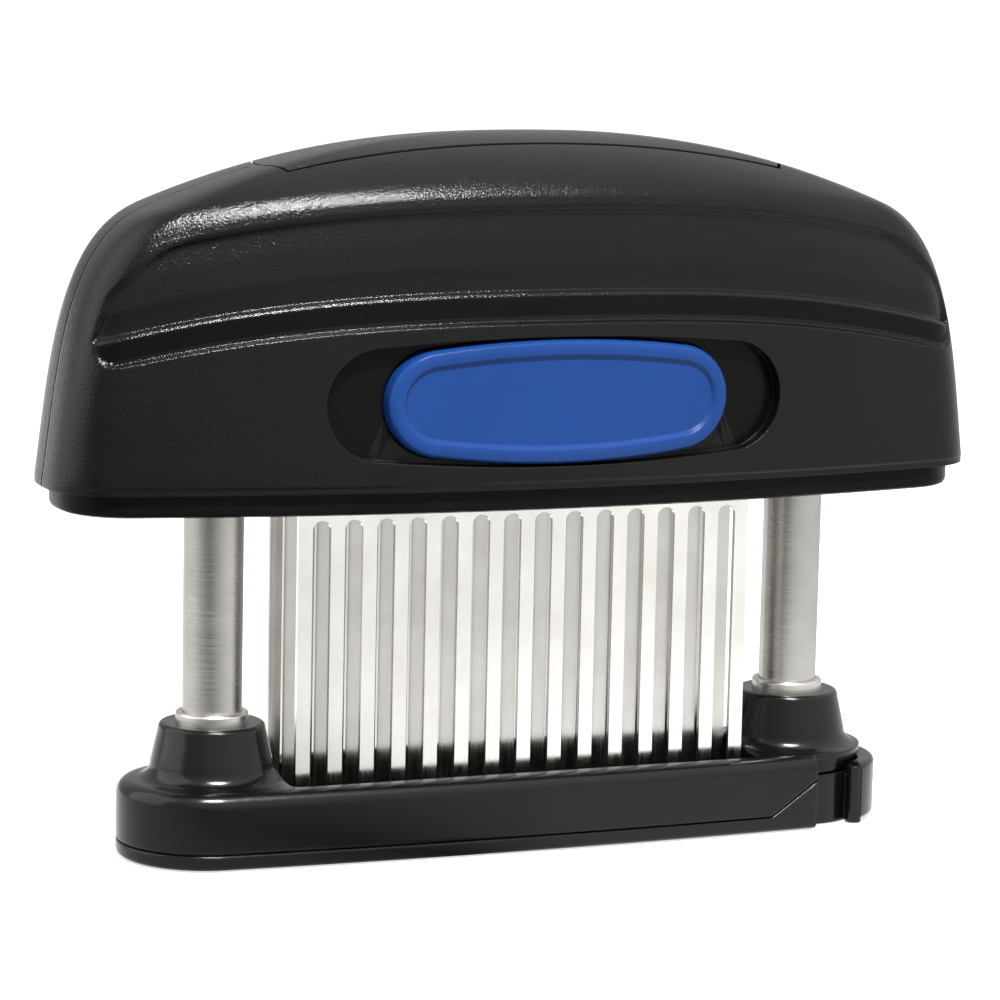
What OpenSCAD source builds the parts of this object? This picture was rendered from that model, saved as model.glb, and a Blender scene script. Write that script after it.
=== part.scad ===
// Blade meat tenderizer.
// A slotted foot plate carries a moulded base with two tubular columns. The domed handle slides
// down the columns against springs and drives three stamped knife combs through the foot plate.
// Frame: X runs along the handle, Y from front (-) to back (+), Z up. The origin lies on the
// resting face of the foot plate, midway between the columns.

/* [Columns and stroke] */
// Distance between the axes of the two columns
column_spacing = 90; // [88:0.5:92]
// Outside diameter of the column tubes
column_d = 8.5; // [8:0.1:8.8]
// Wall of the column tubes
column_wall = 0.8; // [0.6:0.1:0.9]
// Height of the handle's underside above the table when it is up
handle_rest_z = 50.1; // [49:0.1:52]
// Travel of the handle
stroke = 29; // [20:0.5:29]
// Radial running clearance of the columns in the handle
column_play = 0.08; // [0.04:0.01:0.1]

/* [Base] */
// Half width of the base at its middle
base_half_depth = 13.8; // [13.4:0.1:14.6]
// Radius of the rounded ends of the base
base_end_r = 12.5; // [12:0.1:12.6]
// Distance from a column's axis to the centre of the rounded end
base_end_offset = 1; // [0.5:0.1:1.5]
// Height of the rim of the base above the table
base_h = 10.9; // [10.5:0.1:12]
// Radius of the upper outer edge of the base
base_edge_r = 2; // [1:0.1:2.2]
// Thickness of the foot plate
plate_t = 2.2; // [2:0.1:3]
// Radius of the lower edge of the foot plate
plate_edge_r = 0.9; // [0.5:0.1:1]
// Gap of the seam between the foot plate and the base
seam = 0.3; // [0.2:0.05:0.4]
// Top of the column bosses above the table
boss_top = 18.9; // [18:0.1:19.4]
// Radius of a boss at its top
boss_r = 7.6; // [7.4:0.1:7.8]
// Radius of a boss above its foot fillet
boss_foot_r = 8.7; // [8.5:0.1:8.9]
// Radius of the fillet at the foot of a boss
boss_fillet = 2.4; // [2:0.1:2.6]

/* [Latch end of the foot plate] */
// Distance from the middle to the step where the base gets narrower
latch_step_x = 44.5; // [44:0.1:45]
// Radius of the narrow end inside the pull tab
latch_end_r = 9.6; // [9.4:0.1:9.8]
// Height of the seam at the narrow end
latch_seam_z = 7.5; // [7:0.1:7.8]
// Height of the pull tab
tab_h = 9; // [8.5:0.1:9.4]
// Half of the angle that the pull tab spans around the end
tab_half_angle = 57; // [50:1:60]

/* [Knife combs] */
// Blades in each comb
blade_count = 15; // [13:1:15]
// Distance from blade to blade
blade_pitch = 4.8; // [4.6:0.05:4.8]
// Width of a blade
blade_w = 2.1; // [1.9:0.05:2.3]
// Thickness of the comb sheet
blade_t = 0.8; // [0.6:0.05:0.9]
// Distance from comb to comb
comb_gap = 6.25; // [6:0.05:6.3]
// Depth of the slot tops below the handle's underside
slot_top_drop = 2.05; // [1.5:0.05:3]
// Height of the blade tips above the foot plate when the handle is up
tip_clearance = 2; // [1.5:0.1:3]
// Length of the sharpening bevel
bevel_len = 1.6; // [1:0.1:2]
// Clearance around each blade in the foot plate
slot_clearance = 0.32; // [0.25:0.01:0.35]

/* [Handle] */
// Overall length of the handle
handle_length = 139.8; // [138:0.1:142]
// Overall depth of the handle
handle_depth = 38; // [37.6:0.1:39]
// Height of the handle from its underside to the crown
handle_height = 52.2; // [52:0.1:54]
// Height of the stepped band under the shell
band_h = 3.2; // [3:0.1:3.6]
// Inset of the stepped band from the shell
band_inset = 1.5; // [1.3:0.1:1.7]
// Drop of the grip lines from the middle to the ends
grip_arch = 6.5; // [6:0.1:7]
// Depth of the handle's sides inside the shell
cavity_half_depth = 14.2; // [14:0.05:14.4]

/* [Insert in the crown] */
// Half length of the insert
insert_half_length = 39.2; // [37:0.1:41]
// Half width of the insert
insert_half_width = 7.6; // [7:0.1:8]
// Thickness of the insert at its middle
insert_t = 2; // [1.8:0.1:2.2]
// Width of the seam around the insert
insert_seam = 0.3; // [0.2:0.05:0.35]

/* [Release buttons] */
// Half length of a button
button_half_length = 25.6; // [24:0.1:27]
// Half height of a button at its middle
button_half_height = 8.75; // [8.4:0.05:9]
// Radius of the button's ends
button_end_r = 7.5; // [7.2:0.1:7.7]
// Height of the button's centre above the handle's underside
button_z = 15.5; // [15:0.1:16]
// How far a button stands proud of the handle's side
button_proud = 0.4; // [0:0.05:0.8]
// Travel of a button
button_travel = 2.6; // [2:0.1:2.6]
// Half length of the oval recess around a button
recess_half_length = 34.3; // [33:0.1:36]
// Depth of the recess
recess_depth = 2.2; // [1.8:0.1:2.3]

/* [Return springs] */
// Wire diameter of a return spring
spring_wire = 0.9; // [0.7:0.05:0.95]
// Outside diameter of a return spring
spring_d = 6.3; // [5.8:0.1:6.4]
// Turns of a return spring
spring_turns = 12; // [9:1:12]

/* [Hidden] */
$fn = 72;

black = [0.07, 0.07, 0.075];
blue = [0.18, 0.38, 0.75];
steel = [0.78, 0.77, 0.74];
eps = 0.01;
long = 80;            // cutting blocks reach this far, past every side of the part
wide = 60;
fit = 0.03;          // clearance of pieces pressed or seated in one another

// Columns
col_x = column_spacing / 2;
col_r = column_d / 2;
bore_r = col_r - column_wall;
column_seat_z = 7;
column_top_z = handle_rest_z + 9.4;
plug_top_z = 14;
screw_r = 2;
screw_head_r = 3.6;
screw_head_h = 1.7;
collar_r = 5.2;
collar_h = 1.6;

// Base
end_x = col_x + base_end_offset;
base_half_length = end_x + base_end_r;
base_bottom_z = plate_t + seam;
trough_half_depth = base_half_depth - 3.4;
comb_half_length = ((blade_count - 1) * blade_pitch + blade_w) / 2;
trough_half_length = comb_half_length + 1.5;
trough_corner_r = 1.6;
pocket_r = base_end_r - 2.4;
pedestal_r = 7.4;
pocket_top_z = 8.4;

// Hook hinge at the left end of the foot plate
hinge_x = -base_half_length;
hinge_z = plate_t + seam / 2;
tongue_r = 5.6;
tongue_t = 1.4;
tongue_angle = 45;
tongue_half_width = 5;
tongue_play = 0.2;

// Latch end
tab_inner_r = latch_end_r + 0.3;
tab_round_r = 0.9;
diagonal_run = 7.4;
side_wall_y = base_half_depth - 2.6;
diagonal_slope = (latch_seam_z - 0.3 - plate_t) / diagonal_run;
cup_inner_r = pedestal_r + 0.5;

// Handle, measured from its underside
half_len = handle_length / 2;
half_dep = handle_depth / 2;
cap_start = 0.886;                   // where the rounded ends begin, as a share of half the length
cap_power = 2 / 2.5;
plan_bow = 0.4546;
flank_r = half_len * half_len / (2 * plan_bow * half_dep);    // plan radius of the sides
cap_steps = 12;
side_steps = 10;
quarter = cap_steps + side_steps;
ring_n = 4 * quarter;
corner = [half_len - 8.9, handle_height - 13.5];
end_curve = [
    [half_len, band_h], [half_len - 0.4, handle_height - 32.3],
    [corner[0] + 2.9, corner[1] - 1.9], corner
];
roof_curve = [
    corner, [half_len - 20, handle_height - 6.3], [28, handle_height], [0, handle_height]
];
// Middle section of the side, as height and half depth: flank, finger cove, grip and shoulder
grip_section = [
    [band_h, half_dep - 0.5], [band_h + 0.5, half_dep], [12, half_dep], [20, half_dep - 0.1],
    [26.4, half_dep - 0.25], [27.1, half_dep - 0.6], [27.9, half_dep - 1.5],
    [28.9, half_dep - 1.8], [29.9, half_dep - 1.5], [30.5, half_dep - 1.1],
    [31.5, half_dep - 1.25], [34, half_dep - 1.7], [35.7, half_dep - 1.9],
    [38.4, half_dep - 2.4], [41, half_dep - 3], [41.7, half_dep - 3.1],
    [42.3, half_dep - 2.5], [43.2, half_dep - 2.25], [44.9, half_dep - 2.6]
];
shoulder = grip_section[len(grip_section) - 1];
crown_curve = [
    [shoulder[1], shoulder[0]], [shoulder[1] - 0.8, handle_height - 2.9],
    [8, handle_height], [0, handle_height]
];
crown_steps = 12;

// Inside of the handle, measured from its underside
frame_flange_h = 6.2;
frame_plate_h = 4.2;
low_half_length = 30;                // half the length of the frame
sleeve_r = 6.2;
sleeve_top = 15.5;
roof_arch_r = 169;
roof_z = handle_height - 3.9;
window_half_length = trough_half_length - 0.2;
window_half_depth = 8.9;
rod_r = 2.5;
rod_seat_r = 3.2;
rod_seat_z = 5.4;
rod_top_z = handle_height - 8.9;
rod_boss_z = handle_height - 12.6;
frame_screw_x = half_len - 10.7;
frame_screw_r = 1.45;
frame_screw_head_r = 2.9;

// Cartridge, measured from the handle's underside
block_half_length = window_half_length - 0.3;
block_half_depth = window_half_depth - 0.3;
block_z0 = 0.6;
block_z1 = 10;
comb_top = 8.4;
comb_tip = plate_t + tip_clearance - handle_rest_z;
pin_r = 1.2;
pin_z = 5.5;
pin_step = 5 * blade_pitch;
ear_y = 8.8;
ear_t = 1.4;
ear_top = 16;
ear_half_length = 12;
catch_z = [11.6, 13.8];
catch_half_length = 8;
leg_w = 2 * catch_half_length - 0.8;

// Buttons, measured from the handle's underside
button_flange = 1.1;
button_back_y = cavity_half_depth - 0.2;
flange_t = 1.4;
button_face_y = half_dep + button_proud;
button_gap = 0.25;
rim_w = 2.6;
dish = 0.6;
leg_t = 1.3;
leg_y = ear_y - ear_t - 0.2;         // outer face of the leg, inside the ear
web_half = 1.2;
web_z0 = 18;
spring_x = 15;
spring_z = 20.5;

// ---------------------------------------------------------------- plan and profile shapes

// Point of a cubic curve at t
function bez(p, t) = pow(1 - t, 3) * p[0] + 3 * pow(1 - t, 2) * t * p[1]
    + 3 * (1 - t) * t * t * p[2] + t * t * t * p[3];

// The t at which one coordinate of a curve reaches a value, by halving the span
function t_at(p, axis, value, lo = 0, hi = 1, n = 26) =
    let (
        mid = (lo + hi) / 2,
        short = (value - bez(p, mid)[axis]) * (p[3][axis] - p[0][axis]) > 0
    )
    n == 0 ? mid : short ? t_at(p, axis, value, mid, hi, n - 1) : t_at(p, axis, value, lo, mid, n - 1);

// Half length of the handle at a height, and height of its roof line at a distance
function reach_at(z) = z < corner[1]
    ? bez(end_curve, t_at(end_curve, 1, z))[0]
    : bez(roof_curve, t_at(roof_curve, 1, z))[0];
function roof_at(x) = x > corner[0]
    ? bez(end_curve, t_at(end_curve, 0, x))[1]
    : bez(roof_curve, t_at(roof_curve, 0, x))[1];

// First quarter of the handle's plan at unit size, from the end's tip to the middle of the side
function quarter_point(s) =
    let (
        angle = 90 * s / cap_steps,
        x = s <= cap_steps
            ? cap_start + (1 - cap_start) * pow(max(cos(angle), 0), cap_power)
            : cap_start * (quarter - s) / side_steps,
        cap = s < cap_steps ? pow(sin(angle), cap_power) : 1
    )
    [x, (1 - plan_bow * x * x) * cap];
function plan_point(i) =
    let (q = floor(i / quarter), r = i % quarter, p = quarter_point(q % 2 == 0 ? r : quarter - r))
    [(q == 0 || q == 3 ? 1 : -1) * p[0], (q < 2 ? 1 : -1) * p[1]];
plan = [for (i = [0 : ring_n - 1]) plan_point(i)];
function plan_outline(a, b) = [for (p = plan) [a * p[0], b * p[1]]];

// Oval with bulging long sides: two wide arcs between two end circles
module barrel(half_length, half_width, end_r) {
    reach = half_length - end_r;
    bulge = half_width - end_r;
    arc_r = (reach * reach + bulge * bulge) / (2 * bulge);
    intersection() {
        translate([0, half_width - arc_r]) circle(arc_r, $fn = 720);
        translate([0, arc_r - half_width]) circle(arc_r, $fn = 720);
        square([2 * reach, 2 * half_width], center = true);
    }
    for (side = [-1, 1]) translate([side * reach, 0]) circle(end_r, $fn = 96);
}

// Half profile of a disc with a rounded upper edge
module disc_profile(r, h, edge) {
    square([r - edge, h]);
    square([r, h - edge]);
    translate([r - edge, h - edge]) circle(edge, $fn = 48);
}

// Point i of n on an oval of two end arcs and two wide arcs that meet smoothly
function oval_point(i, n, half_length, half_width, end_r) =
    let (
        reach = half_length - end_r,
        arc_r = (reach * reach + half_width * half_width - end_r * end_r)
            / (2 * (half_width - end_r)),
        tilt = asin(reach / (arc_r - end_r)),
        q = floor(i * 4 / n),
        k = i % (n / 4),
        s = (q % 2 == 0 ? k : n / 4 - k) / (n / 4),
        a = (90 - tilt) * 2 * s,
        b = tilt * 2 * (1 - s),
        p = s <= 0.5
            ? [reach + end_r * cos(a), end_r * sin(a)]
            : [arc_r * sin(b), arc_r * cos(b) - arc_r + half_width]
    )
    [(q == 0 || q == 3 ? 1 : -1) * p[0], (q < 2 ? 1 : -1) * p[1]];

base_n = 96;
function base_ring(z, inset) = [for (i = [0 : base_n - 1])
    let (p = oval_point(i, base_n, base_half_length - inset, base_half_depth - inset,
        base_end_r - inset))
    [p[0], p[1], z]];

// Block with the outline of the base; its levels are pairs of height and inset
module base_block(levels) {
    z0 = levels[0][0];
    z1 = levels[len(levels) - 1][0];
    skin([for (v = levels) base_ring(v[0], v[1])], base_n, [0, 0, z0], [0, 0, z1]);
}

module rounded_rect(half_length, half_width, r) {
    square([2 * (half_length - r), 2 * half_width], center = true);
    square([2 * half_length, 2 * (half_width - r)], center = true);
    for (sx = [-1, 1], sy = [-1, 1])
        translate([sx * (half_length - r), sy * (half_width - r)]) circle(r, $fn = 32);
}

// Closed skin over a stack of rings that all have n points; the ends are fans
module skin(rings, n, bottom, top) {
    count = len(rings);
    points = concat([for (ring = rings) each ring], [bottom, top]);
    sides = [
        for (j = [0 : count - 2], i = [0 : n - 1])
            let (a = j * n + i, b = j * n + (i + 1) % n)
            each [[a, a + n, b + n], [a, b + n, b]]
    ];
    floor_fan = [for (i = [0 : n - 1]) [count * n, i, (i + 1) % n]];
    last = (count - 1) * n;
    roof_fan = [for (i = [0 : n - 1]) [count * n + 1, last + (i + 1) % n, last + i]];
    polyhedron(points = points, faces = concat(sides, floor_fan, roof_fan));
}

// A round wire wound as one open helix along Z, from z0 to z1
module coil(z0, z1, d, wire, turns, rings = 8, sides = 5) {
    n = turns * rings;
    r = (d - wire) / 2;
    pitch = (z1 - z0 - wire) / turns;
    slope = atan(pitch / (2 * PI * r));
    function spot(k, i) =
        let (
            a = 360 * k / rings,
            b = 360 * i / sides,
            out = r + wire / 2 * cos(b),
            lift = wire / 2 * sin(b),
            turn = lift * sin(slope)
        )
        [
            out * cos(a) + turn * sin(a),
            out * sin(a) - turn * cos(a),
            z0 + wire / 2 + pitch * k / rings + lift * cos(slope)
        ];
    function centre(k) = [
        r * cos(360 * k / rings), r * sin(360 * k / rings), z0 + wire / 2 + pitch * k / rings
    ];
    skin([for (k = [0 : n]) [for (i = [0 : sides - 1]) spot(k, sides - 1 - i)]], sides,
        centre(0), centre(n));
}

// ---------------------------------------------------------------- foot plate and base

module each_column() {
    for (side = [-1, 1]) translate([side * col_x, 0, 0]) children();
}

// The narrow end of base and foot plate, right of the step
module narrow_end(z0, z1, edge) {
    translate([end_x, 0, z0]) rotate([0, 0, -90])
        rotate_extrude(angle = 180, $fn = 96) disc_profile(latch_end_r, z1 - z0, edge);
    translate([latch_step_x - 1, 0, z0])
        rotate([90, 0, 90]) linear_extrude(end_x - latch_step_x + 1) {
            disc_profile(latch_end_r, z1 - z0, edge);
            mirror([1, 0]) disc_profile(latch_end_r, z1 - z0, edge);
        }
}

// Height of the diagonal seam on the foot plate, left of the step
function diagonal_z(x) = plate_t + (x - latch_step_x + diagonal_run) * diagonal_slope;

// Everything above, or below, the diagonal seam, raised by a gap
module above_diagonal(gap) {
    x0 = latch_step_x - diagonal_run;
    rotate([90, 0, 0]) linear_extrude(wide, center = true) polygon([
        [x0, diagonal_z(x0) + gap], [latch_step_x, diagonal_z(latch_step_x) + gap],
        [latch_step_x, wide], [x0, wide]
    ]);
}
module below_diagonal(gap) {
    x0 = latch_step_x - diagonal_run - 3;
    x1 = latch_step_x + 1;
    rotate([90, 0, 0]) linear_extrude(wide, center = true) polygon([
        [x0, diagonal_z(x0) + gap], [x1, diagonal_z(x1) + gap], [x1, -10], [x0, -10]
    ]);
}

module tab_profile() {
    difference() {
        union() {
            translate([tab_inner_r, 0]) square([base_end_r - tab_inner_r, tab_h - tab_round_r]);
            translate([tab_inner_r + tab_round_r, 0])
                square([base_end_r - tab_inner_r - 2 * tab_round_r, tab_h]);
            translate([tab_inner_r + tab_round_r, tab_h - tab_round_r])
                circle(tab_round_r, $fn = 32);
            translate([base_end_r - tab_round_r, tab_h - tab_round_r])
                circle(tab_round_r, $fn = 32);
            translate([latch_end_r - 1, 0]) square([2, latch_seam_z - 0.6]);
        }
        translate([base_end_r - plate_edge_r, -1])
            polygon([[0, 0], [plate_edge_r + 1, 0], [plate_edge_r + 1, plate_edge_r + 1 + eps],
                [plate_edge_r + eps, plate_edge_r + 1], [0, 1]]);
    }
}

// Curved pull tab that wraps around the right end
module pull_tab() {
    mid_r = (tab_inner_r + base_end_r) / 2;
    translate([end_x, 0, 0]) {
        rotate([0, 0, -tab_half_angle])
            rotate_extrude(angle = 2 * tab_half_angle, $fn = 96) tab_profile();
        for (side = [-1, 1])
            rotate([0, 0, side * tab_half_angle]) translate([mid_r, 0, 0])
                cylinder(r = (base_end_r - tab_inner_r) / 2 - 0.1, h = tab_h - 0.5, $fn = 48);
    }
}

// Outline of the foot plate up to a height, with its lower edge rounded
module plate_block(h) {
    e = plate_edge_r;
    base_block([[0, e], [0.13 * e, 0.5 * e], [0.5 * e, 0.13 * e], [e, 0], [h, 0]]);
}

module foot_plate() {
    color(black) difference() {
        union() {
            // Slab, and the raised side walls under the diagonal seam
            intersection() {
                plate_block(latch_seam_z + 3);
                union() {
                    translate([-long, -wide / 2, -1])
                        cube([long + latch_step_x, wide, plate_t + 1]);
                    difference() {
                        translate([latch_step_x - diagonal_run, -wide / 2, -1])
                            cube([diagonal_run, wide, latch_seam_z + 2]);
                        above_diagonal(0);
                        translate([0, -side_wall_y, plate_t])
                            cube([latch_step_x - 1.8, 2 * side_wall_y, 20]);
                    }
                }
            }
            // Cup of the narrow end, with the tab around it
            difference() {
                narrow_end(0, latch_seam_z, 0.4);
                above_diagonal(0);
            }
            pull_tab();
            // Curved tongue that hooks into the left end of the base
            translate([hinge_x, tongue_half_width, hinge_z]) rotate([90, 0, 0])
                rotate([0, 0, -8]) ring_sector(tongue_r - tongue_t, tongue_r,
                    2 * tongue_half_width, tongue_angle + 8);
        }
        // Room for the foot of the right boss
        translate([col_x, 0, plate_t]) cylinder(r = cup_inner_r, h = 20);
        // One slot for each blade
        for (row = [-1 : 1], k = [0 : blade_count - 1])
            translate([(k - (blade_count - 1) / 2) * blade_pitch, row * comb_gap, plate_t / 2])
                cube([blade_w + 2 * slot_clearance, blade_t + 2 * slot_clearance, plate_t + 1],
                    center = true);
    }
}

// Part of a flat ring from angle 0 to the given angle, thick along Z
module ring_sector(r0, r1, h, angle) {
    rotate_extrude(angle = angle, $fn = 96) translate([r0, 0]) square([r1 - r0, h]);
}

// A boss with its conical flank, rounded top edge and the fillet at its foot
module boss() {
    top_edge = 0.7;
    fillet_x = boss_foot_r + boss_fillet;
    rotate_extrude($fn = 96) difference() {
        union() {
            polygon([
                [0, base_bottom_z], [fillet_x, base_bottom_z], [fillet_x, base_h],
                [boss_foot_r, base_h + boss_fillet], [boss_r, boss_top - top_edge],
                [boss_r - top_edge, boss_top - top_edge], [0, boss_top - top_edge]
            ]);
            square([boss_r - top_edge, boss_top]);
            translate([boss_r - top_edge, boss_top - top_edge]) circle(top_edge, $fn = 32);
        }
        translate([fillet_x, base_h + boss_fillet]) circle(boss_fillet, $fn = 64);
    }
}

module base_body() {
    e = base_edge_r;
    color(black) difference() {
        union() {
            difference() {
                base_block([[base_bottom_z, 0], [base_h - e, 0], [base_h - 0.61 * e, 0.08 * e],
                    [base_h - 0.29 * e, 0.29 * e], [base_h - 0.08 * e, 0.61 * e], [base_h, e]]);
                translate([latch_step_x, -wide / 2, -1]) cube(wide);
                // Diagonal seam over the raised side walls of the foot plate
                below_diagonal(seam * 1.2);
                // Hollow underside around the left boss
                translate([-end_x, 0, 0]) cylinder(r = pocket_r, h = pocket_top_z);
            }
            narrow_end(latch_seam_z + seam, base_h, 1.4);
            // Column bosses, standing on pedestals inside the base
            each_column() {
                intersection() {
                    boss();
                    translate([0, 0, base_h - 1]) cylinder(r = 20, h = 20);
                }
                cylinder_between(pedestal_r, base_bottom_z, base_h);
            }
            // Nose inside the left end, on which the tongue hooks
            intersection() {
                translate([hinge_x, 0, hinge_z]) rotate([90, 0, 0])
                    cylinder(r = tongue_r - tongue_t - tongue_play, h = 2 * pocket_r - 3,
                        center = true);
                base_block([[base_bottom_z, 1], [pocket_top_z, 1]]);
            }
        }
        // Open trough for the blades
        linear_extrude(wide, center = true)
            rounded_rect(trough_half_length, trough_half_depth, trough_corner_r);
        // Groove for the tongue
        translate([hinge_x, tongue_half_width + tongue_play, hinge_z]) rotate([90, 0, 0])
            ring_sector(tongue_r - tongue_t - tongue_play, tongue_r + tongue_play,
                2 * (tongue_half_width + tongue_play), tongue_angle + 4);
        // Column seats and screw holes
        each_column() {
            cylinder_between(col_r + fit, column_seat_z, 40);
            cylinder_between(screw_r + fit, 0, 40);
            cylinder_between(screw_head_r + 0.2, 0, column_seat_z - 2.4);
        }
    }
}

module column(side) {
    color(steel) translate([side * col_x, 0, column_seat_z]) difference() {
        cylinder(r = col_r, h = column_top_z - column_seat_z);
        translate([0, 0, -1]) cylinder(r = bore_r, h = column_top_z);
    }
}
module left_column() { column(-1); }
module right_column() { column(1); }

module collar(side) {
    edge = 0.45;
    color(steel) translate([side * col_x, 0, boss_top]) rotate_extrude($fn = 96) difference() {
        disc_profile(collar_r, collar_h, edge);
        translate([-1, -1]) square([col_r + fit + 1, collar_h + 2]);
    }
}
module left_collar() { collar(-1); }
module right_collar() { collar(1); }

module foot_plug(side) {
    color(steel) translate([side * col_x, 0, column_seat_z]) difference() {
        cylinder(r = bore_r - fit, h = plug_top_z - column_seat_z);
        translate([0, 0, -1]) cylinder(r = screw_r + fit, h = 20);
    }
}
module left_foot_plug() { foot_plug(-1); }
module right_foot_plug() { foot_plug(1); }

module column_screws() {
    head_top = column_seat_z - 2.4;
    color(steel) each_column() difference() {
        union() {
            translate([0, 0, head_top - screw_head_h]) cylinder(r = screw_head_r, h = screw_head_h);
            cylinder_between(screw_r, head_top - 0.2, plug_top_z - 1);
        }
        // Cross recess
        for (turn = [0, 90]) rotate([0, 0, turn])
            translate([0, 0, head_top - screw_head_h]) cube([3.6, 0.8, 1.8], center = true);
    }
}

module cylinder_between(r, z0, z1) {
    translate([0, 0, z0]) cylinder(r = r, h = z1 - z0);
}

module return_spring(side) {
    color(steel) translate([side * col_x, 0, 0])
        coil(plug_top_z + 0.1, handle_rest_z + rod_seat_z - 0.1, spring_d, spring_wire,
            spring_turns);
}
module left_return_spring() { return_spring(-1); }
module right_return_spring() { return_spring(1); }

// ---------------------------------------------------------------- handle

function smooth_step(x) = let (c = max(0, min(1, x))) c * c * (3 - 2 * c);
// Half depth of the side without its grooves
function plain_depth(z) = half_dep - 2.6 * pow(max(0, z - band_h - 0.5) / (shoulder[0] - band_h - 0.5), 2);
// Where the grooves run out near the ends of the grip: soonest at their upper and lower edges
groove_fade = 0.045;
function groove_end(z) = 0.978
    - 0.09 * pow(max(0, (z - 36) / 6), 2) - 0.08 * pow(min(1, max(0, (29.5 - z) / 3.5)), 2);
function groove_share(u, z) = 1 - smooth_step((abs(u) - groove_end(z) + groove_fade) / groove_fade);
function arch_share(z) = smooth_step((z - band_h - 0.5) / 23.4);

function side_ring(z, depth) =
    let (
        z_end = z - grip_arch * arch_share(z),
        a = reach_at(z_end),
        plain = z < band_h + 0.4 ? depth : plain_depth(z),
        relief = plain - depth
    )
    [for (p = plan) [
        a * p[0],
        plain * p[1] - sign(p[1]) * relief * groove_share(p[0], z) * min(1, abs(p[1]) * 4),
        z - (z - z_end) * p[0] * p[0]
    ]];

shoulder_reach = reach_at(shoulder[0] - grip_arch);
function crown_ring(t) =
    let (
        c = bez(crown_curve, t),
        a = shoulder_reach * c[0] / shoulder[1],
        z_end = roof_at(a)
    )
    [for (p = plan) [a * p[0], c[0] * p[1], c[1] - (c[1] - z_end) * p[0] * p[0]]];

// Outer form of the handle, from the lower edge of the shell to the crown
module handle_form() {
    skin(
        concat(
            [for (s = grip_section) side_ring(s[0], s[1])],
            [for (k = [1 : crown_steps - 1]) crown_ring(k / crown_steps)]
        ),
        ring_n, [0, 0, band_h], [0, 0, handle_height]
    );
}

// Only the crown of the same form, pointed below
module crown_form() {
    skin([for (k = [5 : crown_steps - 1]) crown_ring(k / crown_steps)], ring_n,
        [0, 0, handle_height - 12], [0, 0, handle_height]);
}

// Strip with bowed ends
module insert_outline(gap) {
    intersection() {
        square([2 * (insert_half_length + gap), 2 * (insert_half_width + gap)], center = true);
        union() {
            square([2 * (insert_half_length - 6), wide], center = true);
            for (side = [-1, 1]) translate([side * (insert_half_length - insert_bow_r), 0])
                circle(insert_bow_r + gap, $fn = 128);
        }
    }
}

// Arched cylinder below the crown: the seat of the insert, or the ceiling of the cavity
module arch_below(z, r) {
    translate([0, 0, z - r]) rotate([90, 0, 0]) cylinder(r = r, h = 80, center = true, $fn = 360);
}

insert_seat_z = handle_height - insert_t;
insert_seat_r = 190;
insert_bow_r = 15.8;

module button_oval(grow) {
    barrel(button_half_length + grow, button_half_height + grow, button_end_r + grow);
}
module across(y0, y1) {
    translate([0, y1, button_z]) rotate([90, 0, 0]) linear_extrude(y1 - y0) children();
}

// Space around a button, cut to the curve of the handle's side
module button_recess() {
    difference() {
        across(-40, -10) barrel(recess_half_length, button_half_height + 0.35, button_end_r + 0.4);
        translate([0, flank_r - half_dep, -1])
            cylinder(r = flank_r - recess_depth, h = wide, $fn = 720);
    }
}

module cavity() {
    // Flat room behind the buttons
    translate([-28, -cavity_half_depth, band_h + 1.2])
        cube([56, 2 * cavity_half_depth, 22.4]);
    translate([0, 0, band_h - 1]) linear_extrude(20 - band_h + 1)
        polygon(plan_outline(half_len - 5.2, cavity_half_depth));
    translate([0, 0, 19]) linear_extrude(handle_height - 33.2)
        polygon(plan_outline(half_len - 9.7, cavity_half_depth));
    intersection() {
        translate([0, 0, 19]) linear_extrude(40)
            polygon(plan_outline(half_len - 15.7, cavity_half_depth - 3.7));
        arch_below(roof_z, roof_arch_r);
    }
}

module shell_inside() {
    // Sockets of the push rods
    each_column() difference() {
        cylinder_between(4.5, rod_boss_z, rod_top_z + 0.6);
        cylinder_between(rod_r + fit, rod_boss_z - 1, rod_top_z + 0.2);
    }
    // Posts for the frame screws
    for (side = [-1, 1]) translate([side * frame_screw_x, 0, 0])
        cylinder_between(3.4, frame_flange_h + 0.2, 30);
    // Web between the buttons
    translate([-20, -web_half, web_z0]) cube([40, 2 * web_half, roof_z - web_z0 + 1]);
}

module handle_shell() {
    color(black) translate([0, 0, handle_rest_z]) difference() {
        union() {
            difference() {
                handle_form();
                cavity();
            }
            shell_inside();
        }
        each_column() cylinder_between(rod_r + fit, rod_boss_z - 1, rod_top_z + 0.2);
        for (side = [-1, 1]) translate([side * frame_screw_x, 0, 0])
            cylinder_between(frame_screw_r + fit, 0, 16);
        // Seat of the insert
        difference() {
            translate([0, 0, handle_height - 12]) linear_extrude(20) insert_outline(insert_seam);
            arch_below(insert_seat_z - 0.05, insert_seat_r);
        }
        for (side = [-1, 1]) translate([side * 26, 0, 0]) cylinder_between(1.55, 30, 60);
        for (face = [0, 180]) rotate([0, 0, face]) {
            button_recess();
            across(-30, -9) button_oval(button_gap);
        }
    }
}

module top_insert() {
    color(black) translate([0, 0, handle_rest_z]) {
        difference() {
            intersection() {
                crown_form();
                translate([0, 0, handle_height - 12]) linear_extrude(20) insert_outline(0);
            }
            arch_below(insert_seat_z, insert_seat_r);
        }
        // Pegs that hold it in the shell
        for (side = [-1, 1]) translate([side * 26, 0, 0])
            cylinder_between(1.5, roof_z - 2.4, insert_seat_z - 1);
    }
}

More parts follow.
